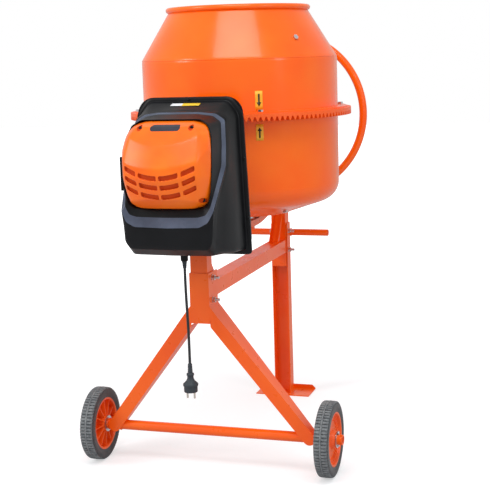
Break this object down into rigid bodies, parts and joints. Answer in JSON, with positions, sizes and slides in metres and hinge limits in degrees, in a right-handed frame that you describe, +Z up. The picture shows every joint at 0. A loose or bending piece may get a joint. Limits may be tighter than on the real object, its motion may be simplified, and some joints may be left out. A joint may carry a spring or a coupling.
{
  "type": "concrete mixer",
  "caption": "Electric tilting-drum concrete mixer: open-mouthed drum with a toothed ring in a yoke, on a wheeled stand, with a motor housing in front and a handwheel behind.",
  "frame": {"origin": "on the ground, in the middle of the machine's footprint box (the cord and its plug not counted)", "axes": "+X along the wheel axle, +Y from the motor side towards the handwheel side, +Z up"},
  "size_m": [0.726, 1.162, 1.229],
  "materials": {
    "frame_paint": "gloss powder coat, orange",
    "yoke_paint": "gloss powder coat, orange",
    "drum_paint": "gloss powder coat, orange",
    "handwheel_paint": "gloss powder coat, orange",
    "blade_paint": "powder coat, orange",
    "gear_iron": "cast, painted orange, teeth a little rough",
    "zinc_fasteners": "bright zinc plate",
    "bare_steel": "turned steel, lightly oiled",
    "bearing_steel": "ground steel",
    "housing_black": "moulded black plastic, half gloss",
    "cover_orange": "moulded orange plastic, half gloss",
    "pulley_alloy": "die cast",
    "motor_alloy": "die cast",
    "fan_plastic": "moulded",
    "belt_rubber": "ribbed rubber",
    "cord_rubber": "smooth rubber sheath",
    "plug_rubber": "moulded dark blue-grey rubber",
    "plug_brass": "nickel-plated brass",
    "tyre": "solid rubber, matt",
    "rim_plastic": "moulded orange plastic",
    "button_green": "moulded",
    "button_red": "moulded"
  },
  "bodies": {
    "frame": {"stand_channel": "frame_paint", "leg_left": "frame_paint", "leg_right": "frame_paint", "axle_tube": "frame_paint", "front_post": "frame_paint", "main_beam": "frame_paint", "rear_post": "frame_paint", "front_brace": "frame_paint", "rear_brace": "frame_paint", "rear_leg": "frame_paint", "foot_plate": "frame_paint", "transport_handle": "frame_paint", "frame_bolts": "zinc_fasteners", "frame_nuts": "zinc_fasteners", "frame_washers": "zinc_fasteners", "front_saddle": "frame_paint", "rear_saddle": "frame_paint", "lock_disc": "bare_steel", "housing_back": "housing_black", "housing_body": "housing_black", "housing_cover": "cover_orange", "housing_screws": "zinc_fasteners", "motor_casing": "motor_alloy", "motor_bracket": "bare_steel", "drive_belt": "belt_rubber", "switch_box": "housing_black", "cable_gland": "housing_black", "power_cord": "cord_rubber", "plug_body": "plug_rubber", "plug_pins": "plug_brass", "axle_washers": "zinc_fasteners", "split_pins": "zinc_fasteners"},
    "yoke": {"yoke_bow": "yoke_paint", "front_trunnion": "bare_steel", "rear_trunnion": "bare_steel", "bearing_housing": "yoke_paint", "drum_bearings": "bearing_steel", "pinion_bearings": "bearing_steel", "lock_spring": "bare_steel", "handwheel_bolt": "zinc_fasteners"},
    "drum": {"drum_spindle": "bare_steel", "drum_lower": "drum_paint", "drum_upper": "drum_paint", "ring_gear": "gear_iron", "drum_bolts": "zinc_fasteners", "mixing_blades": "blade_paint"},
    "pinion": {"pinion_gear": "gear_iron", "pinion_shaft": "bare_steel", "driven_pulley": "pulley_alloy"},
    "rotor": {"rotor": "bare_steel", "motor_pulley": "pulley_alloy", "motor_fan": "fan_plastic"},
    "wheel_left": {"tyre_left": "tyre", "rim_left": "rim_plastic"},
    "wheel_right": {"tyre_right": "tyre", "rim_right": "rim_plastic"},
    "handwheel": {"handwheel_ring": "handwheel_paint", "handwheel_hub": "handwheel_paint"},
    "start_button": {"start_button": "button_green"},
    "stop_button": {"stop_button": "button_red"}
  },
  "joints": [
    {"name": "tilt", "type": "hinge", "parent": "frame", "child": "yoke", "pos_m": [0, 0.075, 0.9], "axis": [0, 1, 0], "range_deg": [-120, 120]},
    {"name": "drum_spin", "type": "hinge", "parent": "yoke", "child": "drum", "pos_m": [0, 0.075, 0.65], "axis": [0, 0, 1], "continuous": true},
    {"name": "pinion_spin", "type": "hinge", "parent": "yoke", "child": "pinion", "pos_m": [0, -0.2375, 0.9], "axis": [0, 1, 0], "continuous": true},
    {"name": "rotor_spin", "type": "hinge", "parent": "frame", "child": "rotor", "pos_m": [0, -0.405, 0.725], "axis": [0, 1, 0], "continuous": true},
    {"name": "wheel_left_spin", "type": "hinge", "parent": "frame", "child": "wheel_left", "pos_m": [-0.325, -0.268, 0.1], "axis": [1, 0, 0], "continuous": true},
    {"name": "wheel_right_spin", "type": "hinge", "parent": "frame", "child": "wheel_right", "pos_m": [0.325, -0.268, 0.1], "axis": [1, 0, 0], "continuous": true},
    {"name": "handwheel_lock", "type": "slide", "parent": "yoke", "child": "handwheel", "axis": [0, 1, 0], "range_m": [-0.012, 0], "stiffness_N_per_m": 1500, "springref_m": -0.014},
    {"name": "start_press", "type": "slide", "parent": "frame", "child": "start_button", "axis": [1, 0, 0], "range_m": [0, 0.004], "stiffness_N_per_m": 600, "springref_m": -0.002},
    {"name": "stop_press", "type": "slide", "parent": "frame", "child": "stop_button", "axis": [1, 0, 0], "range_m": [0, 0.004], "stiffness_N_per_m": 600, "springref_m": -0.002}
  ],
  "couplings": [
    {"joint": "pinion_spin", "follows": "drum_spin", "ratio": 11},
    {"joint": "rotor_spin", "follows": "drum_spin", "ratio": 100.94}
  ]
}
